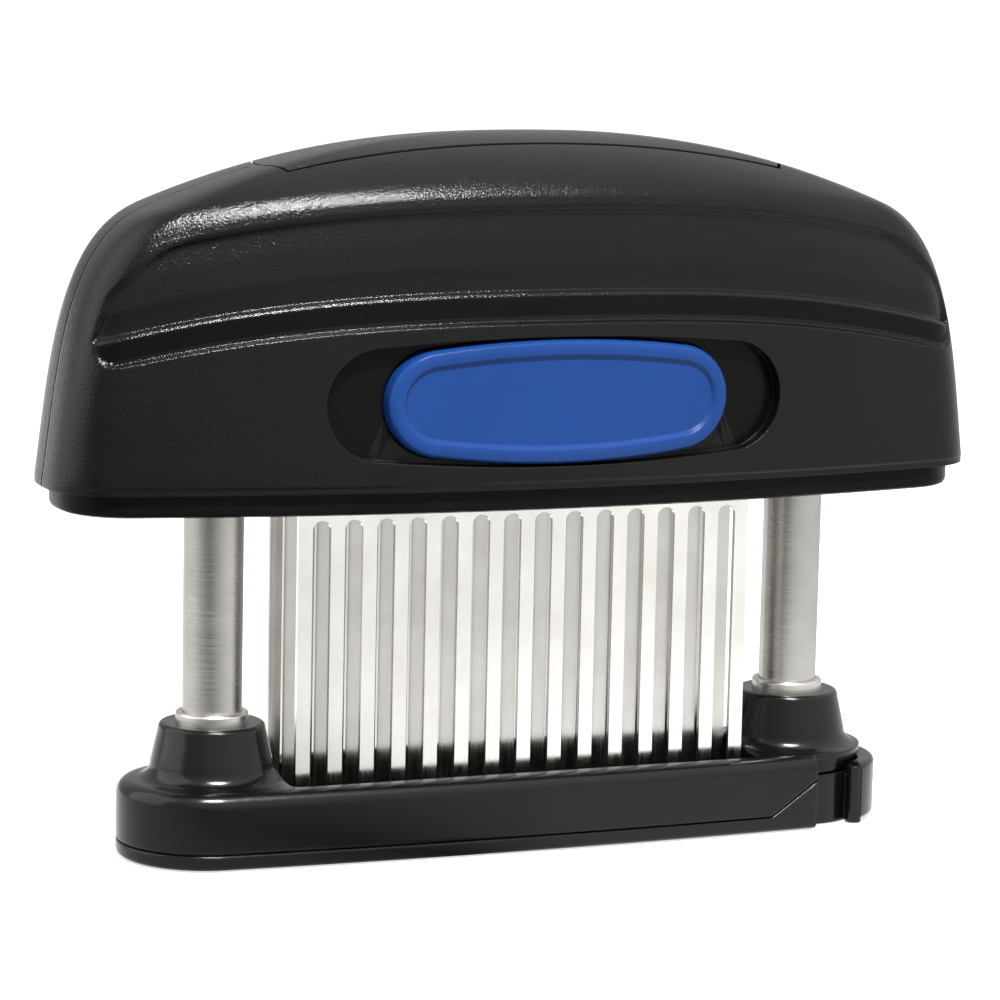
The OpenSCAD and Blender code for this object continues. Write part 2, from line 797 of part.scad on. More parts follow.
// Band under the shell, the plate above it and the guide sleeves of the columns
module bottom_frame() {
    a = half_len - band_inset - 0.2;
    b = half_dep - band_inset;
    function band_ring(z, inset) = [for (p = plan_outline(a - inset, b - inset)) [p[0], p[1], z]];
    color(black) translate([0, 0, handle_rest_z]) difference() {
        union() {
            skin([band_ring(0, 0.8), band_ring(0.25, 0.25), band_ring(0.8, 0), band_ring(band_h, 0)],
                ring_n, [0, 0, 0], [0, 0, band_h]);
            translate([0, 0, 1]) linear_extrude(frame_flange_h - 1)
                polygon(plan_outline(half_len - 5.5, cavity_half_depth - 0.3));
            each_column() cylinder_between(sleeve_r, 1, sleeve_top);
        }
        // Low middle part below the buttons
        translate([-low_half_length, -wide / 2, frame_plate_h]) cube([2 * low_half_length, wide, 20]);
        // Window of the cartridge
        translate([-window_half_length, -window_half_depth, -1])
            cube([2 * window_half_length, 2 * window_half_depth, 20]);
        each_column() cylinder_between(col_r + column_play, -1, 40);
        for (side = [-1, 1]) translate([side * frame_screw_x, 0, 0]) {
            cylinder_between(frame_screw_r + fit, -1, 20);
            cylinder_between(frame_screw_head_r + 0.15, -1, 2);
        }
    }
}

module frame_screws() {
    color(steel) translate([0, 0, handle_rest_z]) for (side = [-1, 1])
        translate([side * frame_screw_x, 0, 0]) difference() {
            union() {
                cylinder_between(frame_screw_head_r, 0.4, 2);
                cylinder_between(frame_screw_r, 1.8, 15);
            }
            for (turn = [0, 90]) rotate([0, 0, turn])
                translate([0, 0, 0.4]) cube([2.8, 0.6, 1.4], center = true);
        }
}

// ---------------------------------------------------------------- knife cartridge

module each_pin() {
    for (k = [-1 : 1]) translate([k * pin_step, 0, pin_z]) rotate([90, 0, 0]) children();
}

module cartridge_block() {
    color(black) translate([0, 0, handle_rest_z]) difference() {
        union() {
            translate([-block_half_length, -block_half_depth, block_z0])
                cube([2 * block_half_length, 2 * block_half_depth, block_z1 - block_z0]);
            for (face = [0, 180]) rotate([0, 0, face])
                translate([-ear_half_length, -ear_y, block_z1 - 1])
                    cube([2 * ear_half_length, ear_t, ear_top - block_z1 + 1]);
        }
        // Slots for the combs
        for (row = [-1 : 1])
            translate([-comb_half_length - fit, row * comb_gap - blade_t / 2 - fit, block_z0 - 1])
                cube([2 * (comb_half_length + fit), blade_t + 2 * fit,
                    comb_top + fit - block_z0 + 1]);
        each_pin() cylinder(r = pin_r + fit, h = wide, center = true);
        // Windows for the noses of the buttons
        translate([-catch_half_length, -wide / 2, catch_z[0]])
            cube([2 * catch_half_length, wide, catch_z[1] - catch_z[0]]);
    }
}

// One stamped comb: a plate above the slots and pointed blades between them
module knife_comb(row) {
    slot_w = blade_pitch - blade_w;
    slot_r = slot_w / 2;
    top = comb_top;
    color(steel) translate([0, row * comb_gap, handle_rest_z]) difference() {
        rotate([90, 0, 0]) linear_extrude(blade_t, center = true) difference() {
            translate([-comb_half_length, comb_tip])
                square([2 * comb_half_length, top - comb_tip]);
            for (k = [0 : blade_count - 2])
                translate([(k - (blade_count - 2) / 2) * blade_pitch, 0]) {
                    translate([0, -slot_top_drop - slot_r]) circle(slot_r, $fn = 48);
                    translate([-slot_r, comb_tip - 1])
                        square([slot_w, -slot_top_drop - slot_r - comb_tip + 1]);
                }
        }
        each_pin() cylinder(r = pin_r + fit, h = wide, center = true);
        // Bevels on both faces of the blade tips
        for (face = [0, 180]) rotate([0, 0, face])
            rotate([90, 0, 90]) linear_extrude(2 * comb_half_length + 2, center = true)
                polygon([
                    [0.02, comb_tip - eps], [blade_t / 2 + 0.5, comb_tip - eps],
                    [blade_t / 2 + 0.5, comb_tip + bevel_len + 2], [blade_t / 2, comb_tip + bevel_len]
                ]);
    }
}
module front_knife_comb() { knife_comb(-1); }
module middle_knife_comb() { knife_comb(0); }
module rear_knife_comb() { knife_comb(1); }

module comb_pins() {
    color(steel) translate([0, 0, handle_rest_z])
        each_pin() cylinder(r = pin_r, h = 2 * block_half_depth - 0.4, center = true);
}

module push_rod(side) {
    color(steel) translate([side * col_x, 0, handle_rest_z]) {
        cylinder_between(rod_r, rod_seat_z, rod_top_z);
        cylinder_between(rod_seat_r, rod_seat_z, rod_seat_z + 1.5);
        cylinder_between(spring_d / 2 - spring_wire - 0.45, rod_seat_z - 9, rod_seat_z + 1);
    }
}
module left_push_rod() { push_rod(-1); }
module right_push_rod() { push_rod(1); }

// ---------------------------------------------------------------- release buttons

button_n = 64;
function button_point(i, e) = oval_point(i, button_n, button_half_length - e,
    button_half_height - e, button_end_r - e);
// Depth of the button's face below its middle, following the handle's side
function face_drop(x) = flank_r - sqrt(flank_r * flank_r - x * x);
// A ring of the button, at depth d under its curved face or on a flat back
function button_ring(e, d) = [for (i = [0 : button_n - 1])
    let (p = button_point(i, e)) [p[0], p[1], button_face_y - face_drop(p[0]) - d]];
function back_ring(y) = [for (i = [0 : button_n - 1]) let (p = button_point(i, 0)) [p[0], p[1], y]];

// Button body: flat back, side wall, rounded rim and a dished field
module button_body() {
    rings = [
        back_ring(cavity_half_depth - 1), button_ring(0, 1.1), button_ring(0.1, 0.6),
        button_ring(0.45, 0.18), button_ring(1.0, 0), button_ring(rim_w - 0.9, 0),
        button_ring(rim_w - 0.5, 0.1), button_ring(rim_w, dish)
    ];
    n = button_n;
    count = len(rings);
    sides = [
        for (j = [0 : count - 2], i = [0 : n - 1])
            let (a = j * n + i, b = j * n + (i + 1) % n)
            each [[a, a + n, b + n], [a, b + n, b]]
    ];
    // Upper and lower points are joined across, so the field keeps the bow of the side
    function across_faces(first, flip) = [
        for (i = [0 : n / 2 - 1])
            let (a = first + i, b = first + i + 1, c = first + (n - i - 1) % n, d = first + (n - i) % n)
            each (i == 0 ? [flip ? [a, c, b] : [a, b, c]]
                : i == n / 2 - 1 ? [flip ? [a, d, b] : [a, b, d]]
                : flip ? [[a, d, c], [a, c, b]] : [[a, c, d], [a, b, c]])
    ];
    polyhedron(
        points = [for (ring = rings) each ring],
        faces = concat(sides, across_faces(0, false), across_faces((count - 1) * n, true))
    );
}

module button(face) {
    color(blue) translate([0, 0, handle_rest_z]) rotate([0, 0, face]) {
        translate([0, 0, button_z]) rotate([90, 0, 0]) button_body();
        // Flange behind the shell
        across(-button_back_y, -button_back_y + flange_t) button_oval(button_flange);
        // Arm over the ear, leg inside it and the nose that holds the cartridge
        translate([0.4 - catch_half_length, -button_back_y + 1, ear_top + 0.5])
            cube([leg_w, button_back_y - 1 - leg_y + leg_t, 1.5]);
        translate([0.4 - catch_half_length, -leg_y, catch_z[0] + 0.2])
            cube([leg_w, leg_t, ear_top + 2 - catch_z[0] - 0.2]);
        translate([0.4 - catch_half_length, -ear_y + 0.1, catch_z[0] + 0.3])
            cube([leg_w, ear_y - leg_y + 0.2, 1.5]);
        // Pegs for the button springs
        for (side = [-1, 1])
            translate([side * spring_x, -button_back_y + flange_t - 0.2, spring_z])
                rotate([-90, 0, 0]) cylinder(r = 1.5, h = 3.2);
    }
}
module front_button() { button(0); }
module rear_button() { button(180); }

module button_springs(face) {
    from = web_half + 0.1;
    to = button_back_y - flange_t - 0.1;
    color(steel) translate([0, 0, handle_rest_z]) rotate([0, 0, face])
        for (side = [-1, 1]) translate([side * spring_x, 0, spring_z]) rotate([90, 0, 0])
            coil(from, to, 5, 0.6, 4);
}
module front_button_springs() { button_springs(0); }
module rear_button_springs() { button_springs(180); }

foot_plate();
base_body();
left_column();
right_column();
left_collar();
right_collar();
left_foot_plug();
right_foot_plug();
column_screws();
left_return_spring();
right_return_spring();
handle_shell();
top_insert();
bottom_frame();
frame_screws();
cartridge_block();
front_knife_comb();
middle_knife_comb();
rear_knife_comb();
comb_pins();
left_push_rod();
right_push_rod();
front_button();
rear_button();
front_button_springs();
rear_button_springs();
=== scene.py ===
"""Looks of a blade meat tenderizer: black moulded grip and base, blue release buttons, steel blades."""
import math

import bmesh
import bpy
from mathutils import Matrix, Vector
from mathutils.bvhtree import BVHTree


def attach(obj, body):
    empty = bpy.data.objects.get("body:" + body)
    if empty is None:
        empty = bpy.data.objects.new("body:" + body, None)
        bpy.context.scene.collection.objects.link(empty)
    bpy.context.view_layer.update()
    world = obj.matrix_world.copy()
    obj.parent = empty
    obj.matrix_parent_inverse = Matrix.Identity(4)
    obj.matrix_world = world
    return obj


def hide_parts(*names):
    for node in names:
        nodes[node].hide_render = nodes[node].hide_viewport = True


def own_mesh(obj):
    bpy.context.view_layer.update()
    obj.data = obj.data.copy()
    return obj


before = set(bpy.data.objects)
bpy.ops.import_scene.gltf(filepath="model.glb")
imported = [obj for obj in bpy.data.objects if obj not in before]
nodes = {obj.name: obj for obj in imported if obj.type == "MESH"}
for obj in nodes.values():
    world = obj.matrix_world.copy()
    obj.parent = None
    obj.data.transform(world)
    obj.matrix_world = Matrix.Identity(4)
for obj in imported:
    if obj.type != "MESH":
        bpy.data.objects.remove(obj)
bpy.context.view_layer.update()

MM = 0.001


# ---------------------------------------------------------------- material helpers

def socket_math(tree, operation, a, b=None):
    """One math node on values or sockets."""
    made = tree.nodes.new("ShaderNodeMath")
    made.operation = operation
    for socket, value in zip(made.inputs, (a, b)):
        if isinstance(value, (int, float)):
            socket.default_value = value
        elif value is not None:
            tree.links.new(value, socket)
    return made.outputs["Value"]


class Finish:
    """A node material whose surface detail is built up step by step."""

    def __init__(self, name, base, roughness, metallic=0.0, specular=0.5):
        self.material = bpy.data.materials.new(name)
        self.material.use_nodes = True
        self.tree = self.material.node_tree
        self.shader = self.tree.nodes["Principled BSDF"]
        self.shader.inputs["Base Color"].default_value = (*base, 1)
        self.shader.inputs["Roughness"].default_value = roughness
        self.shader.inputs["Metallic"].default_value = metallic
        self.shader.inputs["Specular IOR Level"].default_value = specular
        self.place = self.node("ShaderNodeTexCoord").outputs["Object"]
        self.normal = None

    def node(self, kind, **settings):
        made = self.tree.nodes.new(kind)
        for key, value in settings.items():
            setattr(made, key, value)
        return made

    def join(self, output, target):
        self.tree.links.new(output, target)

    def stretched(self, scale):
        """Object coordinates, stretched along the axes, so a grain runs one way."""
        mapping = self.node("ShaderNodeMapping")
        mapping.inputs["Scale"].default_value = scale
        self.join(self.place, mapping.inputs["Vector"])
        return mapping.outputs["Vector"]

    def noise(self, scale, detail=2.0, roughness=0.5, place=None):
        made = self.node("ShaderNodeTexNoise")
        made.inputs["Scale"].default_value = scale
        made.inputs["Detail"].default_value = detail
        made.inputs["Roughness"].default_value = roughness
        self.join(place or self.place, made.inputs["Vector"])
        return made.outputs["Fac"]

    def spread(self, value, low, high, from_low=0.35, from_high=0.65, smooth=False):
        made = self.node("ShaderNodeMapRange")
        made.interpolation_type = "SMOOTHSTEP" if smooth else "LINEAR"
        made.inputs["From Min"].default_value = from_low
        made.inputs["From Max"].default_value = from_high
        made.inputs["To Min"].default_value = low
        made.inputs["To Max"].default_value = high
        self.join(value, made.inputs["Value"])
        return made.outputs["Result"]

    def math(self, operation, a, b=None):
        return socket_math(self.tree, operation, a, b)

    def axis(self, letter):
        made = self.node("ShaderNodeSeparateXYZ")
        self.join(self.place, made.inputs["Vector"])
        return made.outputs[letter]

    def colour_between(self, value, first, second):
        made = self.node("ShaderNodeMix", data_type="RGBA")
        made.inputs[6].default_value = (*first, 1)
        made.inputs[7].default_value = (*second, 1)
        self.join(value, made.inputs["Factor"])
        self.join(made.outputs[2], self.shader.inputs["Base Color"])

    def gloss_between(self, value, low, high):
        self.join(self.spread(value, low, high), self.shader.inputs["Roughness"])

    def soften_edges(self, radius):
        made = self.node("ShaderNodeBevel", samples=6)
        made.inputs["Radius"].default_value = radius
        self.normal = made.outputs["Normal"]
        self.join(self.normal, self.shader.inputs["Normal"])

    def bump(self, height, distance, strength=1.0):
        made = self.node("ShaderNodeBump")
        made.inputs["Strength"].default_value = strength
        made.inputs["Distance"].default_value = distance
        self.join(height, made.inputs["Height"])
        if self.normal is not None:
            self.join(self.normal, made.inputs["Normal"])
        self.normal = made.outputs["Normal"]
        self.join(self.normal, self.shader.inputs["Normal"])


# ---------------------------------------------------------------- finishes

def black_moulding(name, shade=0.002, gloss=(0.15, 0.21), grain=0.0001, edge=0.0003, shine=0.2):
    """Satin black ABS with a fine spark grain and slightly softened edges."""
    made = Finish(name, (shade, shade, shade * 1.06), 0.25, specular=shine)
    paler = (shade * 1.5, shade * 1.5, shade * 1.7)
    made.colour_between(made.spread(made.noise(45, 3), 0, 1), (shade,) * 3, paler)
    made.gloss_between(made.noise(1500, 3, 0.6), *gloss)
    if edge:
        made.soften_edges(edge)
    made.bump(made.noise(2900, 2, 0.6), grain, 0.8)
    return made


def shell_moulding():
    """Shell of the grip: black ABS with the fine witness line of the mould on its two ends."""
    made = black_moulding("shell_black_abs")
    off_middle = made.math("ABSOLUTE", made.axis("Y"))
    line = made.spread(off_middle, 0, 1, 0.0001, 0.0005, True)
    end = made.spread(made.math("ABSOLUTE", made.axis("X")), 1, 0, 0.0405, 0.0415, True)
    made.bump(made.math("MAXIMUM", line, end), 0.001, 1.0)
    return made.material


def blue_moulding():
    """Release buttons: semi-gloss blue ABS."""
    made = Finish("button_blue_abs", (0.005, 0.0276, 0.122), 0.24, specular=0.18)
    deep, pale = (0.0045, 0.0262, 0.116), (0.0054, 0.029, 0.129)
    made.colour_between(made.spread(made.noise(60, 3), 0, 1), deep, pale)
    made.gloss_between(made.noise(200, 4), 0.2, 0.28)
    made.soften_edges(0.0003)
    made.bump(made.noise(2900, 2, 0.6), 0.00004, 0.7)
    return made.material


def brushed_tube(name, shade):
    """Columns and collars: stainless steel brushed round the tube, with a few deeper marks."""
    pale, dull = ((shade * k, shade * k * 0.975, shade * k * 0.915) for k in (1.08, 0.92))
    made = Finish(name, pale, 0.3, metallic=1.0)
    rings = made.noise(1, 5, 0.7, made.stretched((25, 25, 4200)))
    marks = made.noise(1, 2, 0.5, made.stretched((120, 120, 9000)))
    cloud = made.noise(140, 4)
    made.colour_between(made.spread(cloud, 0, 1, 0.3, 0.7), dull, pale)
    made.gloss_between(rings, 0.24, 0.4)
    made.bump(rings, 0.00001, 0.8)
    made.bump(made.spread(marks, 0, 1, 0.62, 0.7), 0.000012, 0.5)
    return made.material


def ground_blade(name, shade):
    """Blades: stainless sheet, ground along its length, with faint stains and scratches."""
    made = Finish(name, (shade, shade * 0.985, shade * 0.94), 0.24, metallic=1.0)
    grind = made.noise(1, 4, 0.65, made.stretched((5200, 5200, 60)))
    stains = made.noise(110, 5, 0.6)
    clean = [shade * k for k in (1.03, 1.015, 0.97)]
    stained = [shade * k for k in (0.88, 0.855, 0.8)]
    made.colour_between(made.spread(stains, 0, 1, 0.35, 0.75), clean, stained)
    made.gloss_between(grind, 0.1, 0.2)
    made.bump(grind, 0.0000012, 0.8)
    return made.material


def plain_steel(name, shade, gloss, grain=900):
    """Screws, pins and springs: plain drawn or plated steel."""
    bright, dull = (shade, shade, shade * 0.98), (shade * 0.85,) * 3
    made = Finish(name, bright, gloss, metallic=1.0)
    made.colour_between(made.spread(made.noise(grain, 3), 0, 1), dull, bright)
    made.gloss_between(made.noise(grain * 0.5, 3), gloss, gloss + 0.12)
    made.bump(made.noise(grain * 2, 2), 0.000006, 0.5)
    return made.material


def dress(material, *names):
    """Gives a material to CAD nodes."""
    for name in names:
        for slot in nodes[name].material_slots:
            slot.material = material


# ---------------------------------------------------------------- moulded form of the grip

# In mm. Heights are measured from the grip's underside, which stands at GRIP_FOOT when the grip is up.
GRIP_FOOT = 50.1
BAND, SHOULDER = 4.0, 43.6  # top of the bottom frame, and edge between the side and the crown
ARCH, ARCH_POWER = 7.2, 2.6  # fall of the lines towards the ends
PLAN_STEPS, CROWN_STEPS = 400, 44  # points round the form, and steps over its crown
# Side view: the end rises to the round corner, and the roof line runs from there to the middle
CORNER = (55.9, 41.66)
END_LINE = ((69.9, 4.0), (67.8, 19.3), (66.94, 36.95), CORNER)
ROOF_LINE = (CORNER, (36.3, 50.0), (20.0, 52.2), (0.0, 52.2))
# End view: from the shoulder over to the middle of the crown
CROWN_LINE = ((16.4, 43.6), (16.1, 45.6), (9.5, 52.2), (0.0, 52.2))
# Height and half depth of the side: flank, two steps, hollow of the fingers, shoulder
SIDE = (
    (4.0, 18.5), (4.5, 19.0), (12.0, 19.0), (20.0, 18.9), (26.3, 18.75), (26.5, 18.6), (26.7, 18.1),
    (26.85, 17.85), (30.0, 18.0), (30.3, 17.97), (30.75, 17.65), (30.95, 17.25), (31.15, 17.12),
    (33.6, 17.1), (34.3, 17.22), (35.7, 17.0), (38.4, 16.6), (41.0, 16.0), (41.7, 15.9), (42.2, 16.45),
    (42.8, 16.65), (43.6, 16.4),
)
# The same without the steps and the hollow, as at the very ends
PLAIN_SIDE = (
    (4.0, 18.5), (4.5, 19.0), (12.0, 19.0), (20.0, 18.9), (26.1, 18.75), (31.0, 18.35),
    (36.0, 17.8), (41.0, 17.1), (42.8, 16.7), (43.6, 16.4),
)
PAINTED_SHADE_BAND = (27, 30.2)  # the strip between the two steps, which gets painted shade: a darker, less shiny black
# Heights of the side's rows, closer where it bends: from, to, rows
SIDE_SPANS = (
    (4, 4.5, 4), (4.5, 26, 12), (26, 27, 12), (27, 30, 6), (30, 31.2, 14), (31.2, 41, 16), (41, 43.6, 18),
)
SIDE_ROWS = [3.0] + [
    start + (stop - start) * k / count for start, stop, count in SIDE_SPANS for k in range(count)
]


def on_curve(points, t):
    """A point of a cubic curve in the side or end view."""
    s = 1 - t
    weights = (s ** 3, 3 * s * s * t, 3 * s * t * t, t ** 3)
    return [sum(w * p[axis] for w, p in zip(weights, points)) for axis in (0, 1)]


def smooth_step(x):
    """Rises smoothly from 0 to 1 as x does."""
    x = min(max(x, 0.0), 1.0)
    return x * x * (3 - 2 * x)


def between(table, x):
    """Straight interpolation in a table of pairs that rises in its first column."""
    for (x0, y0), (x1, y1) in zip(table, table[1:]):
        if x <= x1:
            return y0 + (y1 - y0) * (max(x, x0) - x0) / (x1 - x0)
    return table[-1][1]


def rounded(table, x, reach):
    """The same, with each corner of the table rounded over a short reach."""
    steps = [x + reach * (k / 4 - 1) for k in range(9)]
    return sum(between(table, step) for step in steps) / len(steps)


SIDE_LINE = [on_curve(END_LINE, k / 80) for k in range(80)] + [on_curve(ROOF_LINE, k / 80) for k in range(81)]
LENGTH_AT = [(z, x) for x, z in SIDE_LINE]
ROOF_AT = [(x, z) for x, z in reversed(SIDE_LINE)]


def plan_point(angle):
    """Plan of the grip at unit size: bowed sides and softly squared ends."""
    cap, power = 0.895, 0.651
    quarter = abs(math.degrees(math.atan2(math.sin(angle), abs(math.cos(angle)))))
    if quarter < 45:
        turn = math.radians(quarter * 2)
        x = cap + (1 - cap) * max(math.cos(turn), 0) ** power
        width = math.sin(turn) ** power
    else:
        x, width = cap * (90 - quarter) / 45, 1
    side = 1 if math.cos(angle) >= 0 else -1
    return side * x, (1 if math.sin(angle) >= 0 else -1) * (1 - 0.4546 * x * x) * width


PLAN = [plan_point(math.tau * k / PLAN_STEPS) for k in range(PLAN_STEPS + 1)]


def groove_share(x, z):
    """How much of the steps and the hollow is left near the ends, where their edges run together."""
    low = min(max((30.8 - z) / 4.3, 0), 1)
    last = 0.978 - 0.09 * max(0, (z - 36) / 6) ** 2 - 0.07 * (1 - math.sqrt(1 - low * low))
    fade = 0.014 + 0.012 * smooth_step((z - 31) / 5) + 0.02 * smooth_step((z - 36) / 4)
    return 1 - smooth_step((abs(x) - last + fade) / fade)


def side_row(z):
    """Points of the form at one height of the side."""
    depth = rounded(SIDE, z, min(0.12 if z < 33 else 0.3, max(z - BAND, 0), SHOULDER - z))
    plain = rounded(PLAIN_SIDE, z, min(0.25, max(z - BAND, 0), SHOULDER - z))
    end = z - ARCH * smooth_step((z - BAND - 0.5) / 23.4)
    length = between(LENGTH_AT, end)
    for x, y in PLAN:
        relief = (plain - depth) * groove_share(x, z) * min(1, abs(y) * 4)
        yield length * x, plain * y - math.copysign(relief, y), z - (z - end) * abs(x) ** ARCH_POWER


def crown_row(t):
    """Points of the form at one step over the crown."""
    wide, z = on_curve(CROWN_LINE, t)
    length = between(LENGTH_AT, SHOULDER - ARCH) * wide / CROWN_LINE[0][0]
    roof = between(ROOF_AT, length)
    for x, y in PLAN:
        yield length * x, wide * y, z - (z - roof) * abs(x) ** ARCH_POWER


def grip_form():
    """The moulded form of the grip as one fine closed body."""
    form = bmesh.new()
    rows = [list(side_row(z)) for z in SIDE_ROWS]
    rows += [list(crown_row(k / CROWN_STEPS)) for k in range(CROWN_STEPS + 1)]
    last = len(rows) - 1
    bmesh.ops.create_grid(form, x_segments=PLAN_STEPS, y_segments=last, size=0.5)
    for face in form.faces:
        spot = face.calc_center_median()
        row = int((spot.y + 0.5) * last)
        x = PLAN[int((spot.x + 0.5) * PLAN_STEPS)][0]
        z = SIDE_ROWS[row] if row < len(SIDE_ROWS) else SHOULDER
        # Painted shade: faces of the strip between the steps get the darker, less shiny black
        face.material_index = 1 if PAINTED_SHADE_BAND[0] < z < PAINTED_SHADE_BAND[1] and groove_share(x, z) > 0.9 else 0
    for corner in form.verts:
        x, y, z = rows[round((corner.co.y + 0.5) * last)][round((corner.co.x + 0.5) * PLAN_STEPS)]
        corner.co = Vector((x, y, z + GRIP_FOOT)) * MM
    bmesh.ops.remove_doubles(form, verts=form.verts, dist=0.000002)
    bmesh.ops.holes_fill(form, edges=[edge for edge in form.edges if edge.is_boundary], sides=0)
    bmesh.ops.recalc_face_normals(form, faces=form.faces)
    return form


# ---------------------------------------------------------------- moulded skins

INSERT_SHARE = (1, 0.964, 1)  # the insert is drawn in a little at its sides, which opens its seam


def merged_copy(name):
    """The form of a CAD node with its loose triangles merged into one closed skin."""
    skin = bmesh.new()
    skin.from_mesh(nodes[name].data)
    bmesh.ops.remove_doubles(skin, verts=skin.verts, dist=0.000002)
    bmesh.ops.dissolve_degenerate(skin, edges=skin.edges, dist=0.000001)
    return skin


def widened(place):
    """Moves a place on the outside of the grip a little further out."""
    x, y, z = place / MM
    x += math.copysign(2.2 * smooth_step((abs(x) - 40) / 20), x)
    y += math.copysign(1.6 * smooth_step((abs(y) - 8.5) / 5), y)
    z += 2.2 * smooth_step((z - GRIP_FOOT - 30) / 14)
    return Vector((x, y, z)) * MM


def sort_faces(skin, form):
    """Widens the outside of a skin, and gives the recess floors, the insert's seat and its seam the darker
    black, painted shade.
    """
    tree = BVHTree.FromBMesh(form)
    outside = set()
    for face in skin.faces:
        centre = face.calc_center_median()
        _, normal, _, distance = tree.find_nearest(centre)
        along = normal.dot(face.normal) > 0.6
        in_outline = abs(centre.x) < 0.0396 and abs(centre.y) < 0.008 and centre.z > 0.09
        coarse = centre.z > 0.083 or abs(centre.x) > 0.05
        near = distance < (0.0005 if in_outline else 0.0026 if coarse else 0.0013)
        recess_floor = 0.06 < centre.z < 0.08 and along
        in_seam = centre.z > 0.094 and (in_outline or abs(face.normal.z) < 0.5)
        if near and along and centre.z > (GRIP_FOOT + BAND) * MM:
            outside.update(face.verts)
        # Painted shade: recess floors and the walls round the insert get the darker, less shiny black
        elif distance < 0.006 and (recess_floor or in_seam):
            face.material_index = 1
    for corner in outside:
        corner.co = widened(corner.co)


def cut_to_form(name, form, materials):
    """A CAD node's skin, made oversize on the outside and cut back to the fine moulded form."""
    skin = merged_copy(name)
    if name == "top_insert":
        bmesh.ops.scale(skin, vec=INSERT_SHARE, verts=skin.verts)
    sort_faces(skin, form)
    bodies = []
    for part, source in (("rough", skin), ("fine", form)):
        mesh = bpy.data.meshes.new(name + "_" + part)
        source.to_mesh(mesh)
        for material in materials:
            mesh.materials.append(material)
        bodies.append(bpy.data.objects.new(name + "_" + part, mesh))
        bpy.context.collection.objects.link(bodies[-1])
    rough, fine = bodies
    cut = rough.modifiers.new("cut", "BOOLEAN")
    cut.operation, cut.solver, cut.object = "INTERSECT", "MANIFOLD", fine
    bpy.context.view_layer.update()
    skin.clear()
    skin.from_object(rough, bpy.context.evaluated_depsgraph_get())
    for body in bodies:
        mesh = body.data
        bpy.data.objects.remove(body)
        bpy.data.meshes.remove(mesh)
    bmesh.ops.dissolve_degenerate(skin, edges=skin.edges, dist=0.000001)
    return skin


def finished_skin(skin, name, body, materials, crease=30):
    """Makes a merged skin the visible piece that stands for its CAD node."""
    for face in skin.faces:
        face.smooth = True
    for edge in skin.edges:
        edge.smooth = edge.calc_face_angle(0) < math.radians(crease)
    mesh = bpy.data.meshes.new(name + "_skin")
    skin.to_mesh(mesh)
    skin.free()
    for leftover in ("custom_normal", "sharp_face"):
        if leftover in mesh.attributes:
            mesh.attributes.remove(mesh.attributes[leftover])
    for material in materials:
        mesh.materials.append(material)
    piece = bpy.data.objects.new(name + "_skin", mesh)
    bpy.context.collection.objects.link(piece)
    weighted = piece.modifiers.new("even_shading", "WEIGHTED_NORMAL")
    weighted.keep_sharp = True
    weighted.weight = 60
    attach(piece, body)
    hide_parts(name)
    return piece


def moulded_skin(name, body, slot, *materials, form=None):
    """A merged skin in place of a CAD node, cut to the fine form where one is given."""
    skin = cut_to_form(name, form, materials) if form else merged_copy(name)
    return finished_skin(skin, name, body, materials)


def springs(wire):
    """Coil springs: merged skins in place of the CAD springs, each with a mesh of its own."""
    for side in ("left", "right"):
        spring = moulded_skin(side + "_return_spring", "base", "spring_steel", wire)
        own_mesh(spring)
    for face, inner in (("front", -0.0013), ("rear", 0.0013)):
        spring = moulded_skin(face + "_button_springs", "handle", "spring_steel", wire)
        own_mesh(spring)


def finish_nodes():
    """Gives every CAD node its material, or a finer skin in its place."""
    base = black_moulding("base_black_abs", 0.002, (0.16, 0.2), 0.000015, 0.0006, 0.28).material
    # Painted shade: the same black, darker and less shiny, for the recess floors, the insert's seam and the
    # strip between the steps
    hollow = black_moulding("hollow_painted_shade_abs", 0.0015, (0.2, 0.26), 0.00002, shine=0.1).material
    insert = black_moulding("insert_black_abs", 0.003).material
    band = black_moulding("frame_black_abs", 0.002, (0.2, 0.28), 0.00003, shine=0.08).material
    blue = blue_moulding()
    form = grip_form()
    moulded_skin("handle_shell", "handle", "black_abs", shell_moulding(), hollow, form=form)
    moulded_skin("top_insert", "handle", "black_insert", insert, hollow, form=form)
    moulded_skin("bottom_frame", "handle", "black_frame", band)
    moulded_skin("base_body", "base", "black_base", base)
    moulded_skin("foot_plate", "foot", "black_base", base)
    moulded_skin("front_button", "front_button", "blue_abs", blue)
    moulded_skin("rear_button", "rear_button", "blue_abs", blue)
    dress(black_moulding("block_black_abs", 0.014, (0.4, 0.5)).material, "cartridge_block")
    dress(brushed_tube("column_stainless", 0.46), "left_column", "right_column")
    dress(brushed_tube("collar_stainless", 0.55), "left_collar", "right_collar")
    dress(ground_blade("blade_stainless", 0.92), "front_knife_comb")
    # Painted shade: the middle and rear combs are the same steel at a darker shade, as they stand behind the
    # front comb
    dress(ground_blade("inner_blade_painted_shade", 0.6), "middle_knife_comb", "rear_knife_comb")
    dress(
        plain_steel("plated_steel", 0.55, 0.3), "column_screws", "frame_screws", "comb_pins",
        "left_foot_plug", "right_foot_plug", "left_push_rod", "right_push_rod",
    )
    springs(plain_steel("spring_wire", 0.45, 0.3, 2000))


# ---------------------------------------------------------------- studio

def facing(tree, place, direction):
    """How far a place, seen from the tool, lies towards a direction: 1 straight that way."""
    unit = tree.nodes.new("ShaderNodeVectorMath")
    unit.operation = "NORMALIZE"
    tree.links.new(place, unit.inputs[0])
    dot = tree.nodes.new("ShaderNodeVectorMath")
    dot.operation = "DOT_PRODUCT"
    tree.links.new(unit.outputs[0], dot.inputs[0])
    dot.inputs[1].default_value = direction
    return dot.outputs["Value"]


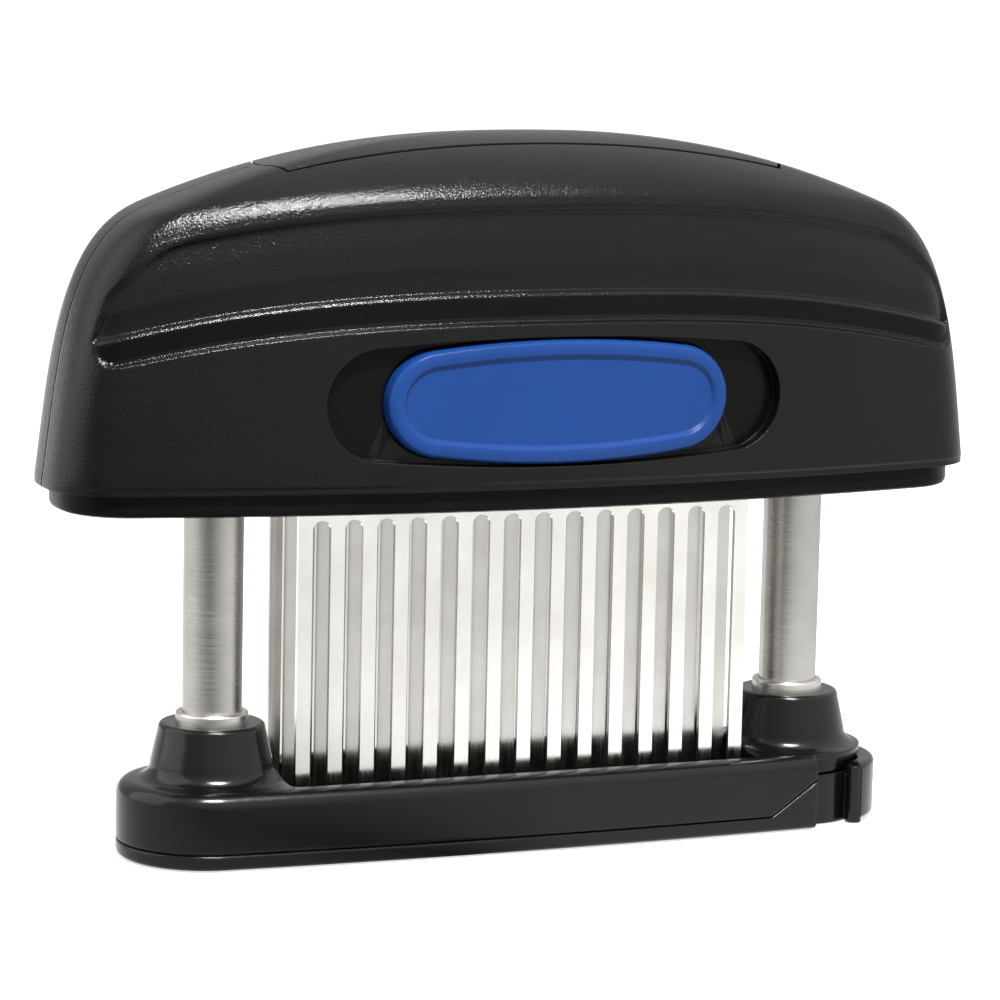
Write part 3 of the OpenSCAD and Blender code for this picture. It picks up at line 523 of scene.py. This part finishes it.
def white_floor():
    """Plain white floor that keeps the soft shadow; its mirror image has its own, uneven level."""
    bpy.ops.mesh.primitive_plane_add(size=14, location=(0, 0, -0.0002))
    floor = bpy.context.object
    floor.name = "studio_floor"
    material = bpy.data.materials.new("studio_white")
    material.use_nodes = True
    tree = material.node_tree
    tree.nodes.remove(tree.nodes["Principled BSDF"])
    diffuse = tree.nodes.new("ShaderNodeBsdfDiffuse")
    diffuse.inputs["Color"].default_value = (0.4, 0.4, 0.4, 1)
    place = tree.nodes.new("ShaderNodeTexCoord").outputs["Object"]
    path = tree.nodes.new("ShaderNodeLightPath")
    mirrored = tree.nodes.new("ShaderNodeEmission")
    side = socket_math(tree, "ABSOLUTE", facing(tree, place, (0.75, -0.66, 0)))
    side = socket_math(tree, "MULTIPLY", side, 0.95)
    behind = socket_math(tree, "MAXIMUM", facing(tree, place, (0.6, 0.8, 0)), 0)
    behind = socket_math(tree, "MULTIPLY", behind, 0.45)
    level = socket_math(tree, "ADD", socket_math(tree, "ADD", side, behind), 0.15)
    away = tree.nodes.new("ShaderNodeVectorMath")
    away.operation = "LENGTH"
    tree.links.new(place, away.inputs[0])
    near = tree.nodes.new("ShaderNodeMapRange")
    near.interpolation_type = "SMOOTHSTEP"
    near.inputs["From Min"].default_value, near.inputs["From Max"].default_value = 0.09, 0.2
    near.inputs["To Min"].default_value, near.inputs["To Max"].default_value = 1.25, 1
    tree.links.new(away.outputs["Value"], near.inputs["Value"])
    tree.links.new(socket_math(tree, "MULTIPLY", level, near.outputs["Result"]), mirrored.inputs["Strength"])
    seen = tree.nodes.new("ShaderNodeEmission")
    tree.links.new(socket_math(tree, "MULTIPLY", path.outputs["Is Camera Ray"], 0.7), seen.inputs["Strength"])
    both = tree.nodes.new("ShaderNodeAddShader")
    tree.links.new(diffuse.outputs[0], both.inputs[0])
    tree.links.new(seen.outputs[0], both.inputs[1])
    choice = tree.nodes.new("ShaderNodeMixShader")
    tree.links.new(path.outputs["Is Glossy Ray"], choice.inputs[0])
    tree.links.new(both.outputs[0], choice.inputs[1])
    tree.links.new(mirrored.outputs[0], choice.inputs[2])
    tree.links.new(choice.outputs[0], tree.nodes["Material Output"].inputs["Surface"])
    floor.data.materials.append(material)


def white_world():
    """A soft white tent round the tool, brighter to the front right and above."""
    world = bpy.data.worlds.new("studio")
    bpy.context.scene.world = world
    world.use_nodes = True
    tree = world.node_tree
    background = tree.nodes["Background"]
    background.inputs["Color"].default_value = (1, 1, 1, 1)
    place = tree.nodes.new("ShaderNodeTexCoord").outputs["Generated"]
    path = tree.nodes.new("ShaderNodeLightPath")
    right = socket_math(tree, "MAXIMUM", facing(tree, place, (0.6, -0.5, 0.6)), 0)
    above = socket_math(tree, "MAXIMUM", facing(tree, place, (0, 0, 1)), 0)
    tent = socket_math(
        tree, "ADD",
        socket_math(tree, "MULTIPLY", right, 0.8),
        socket_math(tree, "ADD", socket_math(tree, "MULTIPLY", above, 0.3), 0.5),
    )
    shown = socket_math(tree, "MAXIMUM", path.outputs["Is Camera Ray"], tent)
    tree.links.new(shown, background.inputs["Strength"])


def softbox(name, place, aim, size, power):
    """A rectangular studio lamp at a place, aimed at a point."""
    lamp = bpy.data.lights.new(name, "AREA")
    lamp.shape = "RECTANGLE"
    lamp.size, lamp.size_y = size
    lamp.energy = power
    holder = bpy.data.objects.new(name, lamp)
    bpy.context.collection.objects.link(holder)
    holder.location = place
    holder.rotation_mode = "QUATERNION"
    holder.rotation_quaternion = (Vector(aim) - Vector(place)).to_track_quat("-Z", "Y")


def studio_lamps():
    """A narrow key lamp above the front, and a large soft one behind the left end."""
    middle = (0, 0, 0.06)
    softbox("key_softbox", (-0.05, -0.54, 0.88), middle, (0.3, 0.06), 26)
    softbox("left_softbox", (-0.85, 0.2, 0.51), middle, (1.1, 1.1), 6.5)


def camera_at_photo_angle():
    """Camera placed by its fitted yaw, pitch, roll, distance and focal length."""
    yaw, pitch, roll = (math.radians(a) for a in (21.74, 8.76, 1.235))
    distance, target = 583.67 * MM, Vector((-1.806, 0, 48.94)) * MM
    forward = Vector((math.sin(yaw) * math.cos(pitch), math.cos(yaw) * math.cos(pitch), -math.sin(pitch)))
    right = Vector((math.cos(yaw), -math.sin(yaw), 0))
    up = right.cross(forward)
    tilted_right = right * math.cos(roll) + up * math.sin(roll)
    tilted_up = up * math.cos(roll) - right * math.sin(roll)
    data = bpy.data.cameras.new("camera")
    data.sensor_width = 36
    data.lens = 4.043 * 36
    data.dof.use_dof = False
    camera = bpy.data.objects.new("camera", data)
    bpy.context.collection.objects.link(camera)
    turn = Matrix((tilted_right, tilted_up, -forward)).transposed()
    camera.matrix_world = Matrix.Translation(target - forward * distance) @ turn.to_4x4()
    bpy.context.scene.camera = camera


finish_nodes()
white_floor()
white_world()
studio_lamps()
camera_at_photo_angle()
bpy.context.scene.view_settings.view_transform = "Standard"
